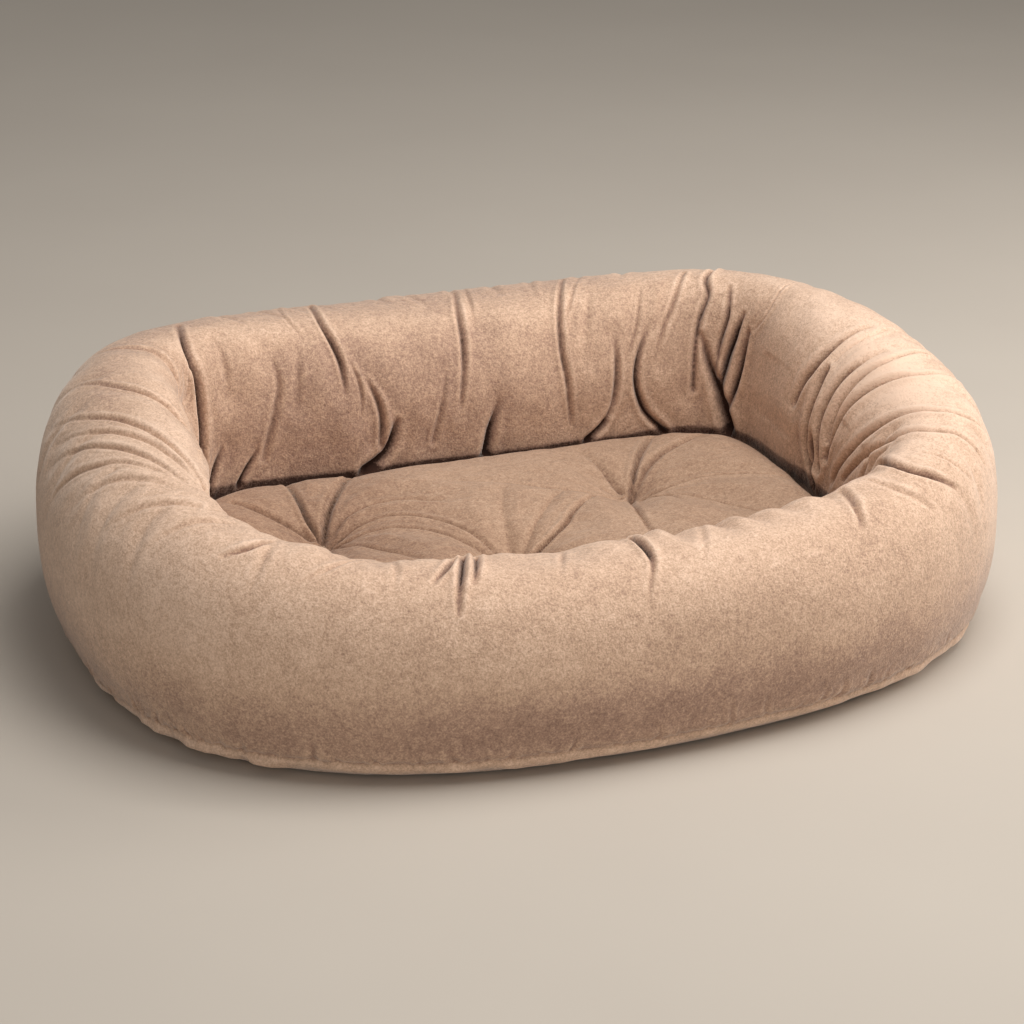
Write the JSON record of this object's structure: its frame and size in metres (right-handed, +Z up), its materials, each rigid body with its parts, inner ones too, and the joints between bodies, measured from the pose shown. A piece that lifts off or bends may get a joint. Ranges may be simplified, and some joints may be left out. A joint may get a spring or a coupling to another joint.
{
  "type": "pet cushion bed",
  "caption": "Oval bolster-ring pet bed in short-pile fabric with a low front wall, a lift-out tufted cushion in the well and a stuffing zipper at the rear.",
  "frame": {"origin": "on the floor, under the middle of the bed's outline", "axes": "+X along the length, +Y towards the high rear wall with the zipper, -Y towards the low front wall, +Z up"},
  "size_m": [0.8994, 0.7084, 0.2425],
  "materials": {
    "velvet_cover": "short-pile tan velvet with a soft sheen and uneven nap",
    "velvet_cushion": "short-pile tan velvet, slightly deeper in the creases",
    "base_cloth": "dark brown woven underside cloth, matt",
    "liner_cloth": "thin off-white lining, matt",
    "fibre_fill": "white polyester fibre",
    "zip_tape": "tan woven zipper tape",
    "zip_coil": "brown nylon coil, satin",
    "zip_metal": "antique-nickel plated, softly worn",
    "care_label": "blank white satin ribbon",
    "tuft_thread": "twisted tan thread"
  },
  "bodies": {
    "bolster": {"bolster_cover": "velvet_cover", "bolster_liner": "liner_cloth", "bolster_fill": "fibre_fill", "base_panel": "base_cloth", "care_label": "care_label", "zip_tape_upper": "zip_tape", "zip_tape_lower": "zip_tape", "zip_coil_upper": "zip_coil", "zip_coil_lower": "zip_coil", "zip_top_stop_upper": "zip_metal", "zip_top_stop_lower": "zip_metal", "zip_bottom_stop": "zip_metal"},
    "cushion": {"cushion_top_panel": "velvet_cushion", "cushion_bottom_panel": "base_cloth", "cushion_fill": "fibre_fill", "tuft_tie_1": "tuft_thread", "tuft_tie_2": "tuft_thread", "tuft_tie_3": "tuft_thread"},
    "slider": {"zip_slider": "zip_metal"},
    "pull_tab": {"zip_pull_tab": "zip_metal"}
  },
  "joints": [
    {"name": "cushion_lift", "type": "slide", "parent": "bolster", "child": "cushion", "axis": [0, 0, 1], "range_m": [0, 0.32]},
    {"name": "zip_run", "type": "slide", "parent": "bolster", "child": "slider", "axis": [-1, 0, 0], "range_m": [0, 0.262]},
    {"name": "tab_swing", "type": "hinge", "parent": "slider", "child": "pull_tab", "pos_m": [0.1292, 0.32865, 0.03372], "axis": [0, -0.4981, -0.8671], "range_deg": [0, 170]}
  ]
}
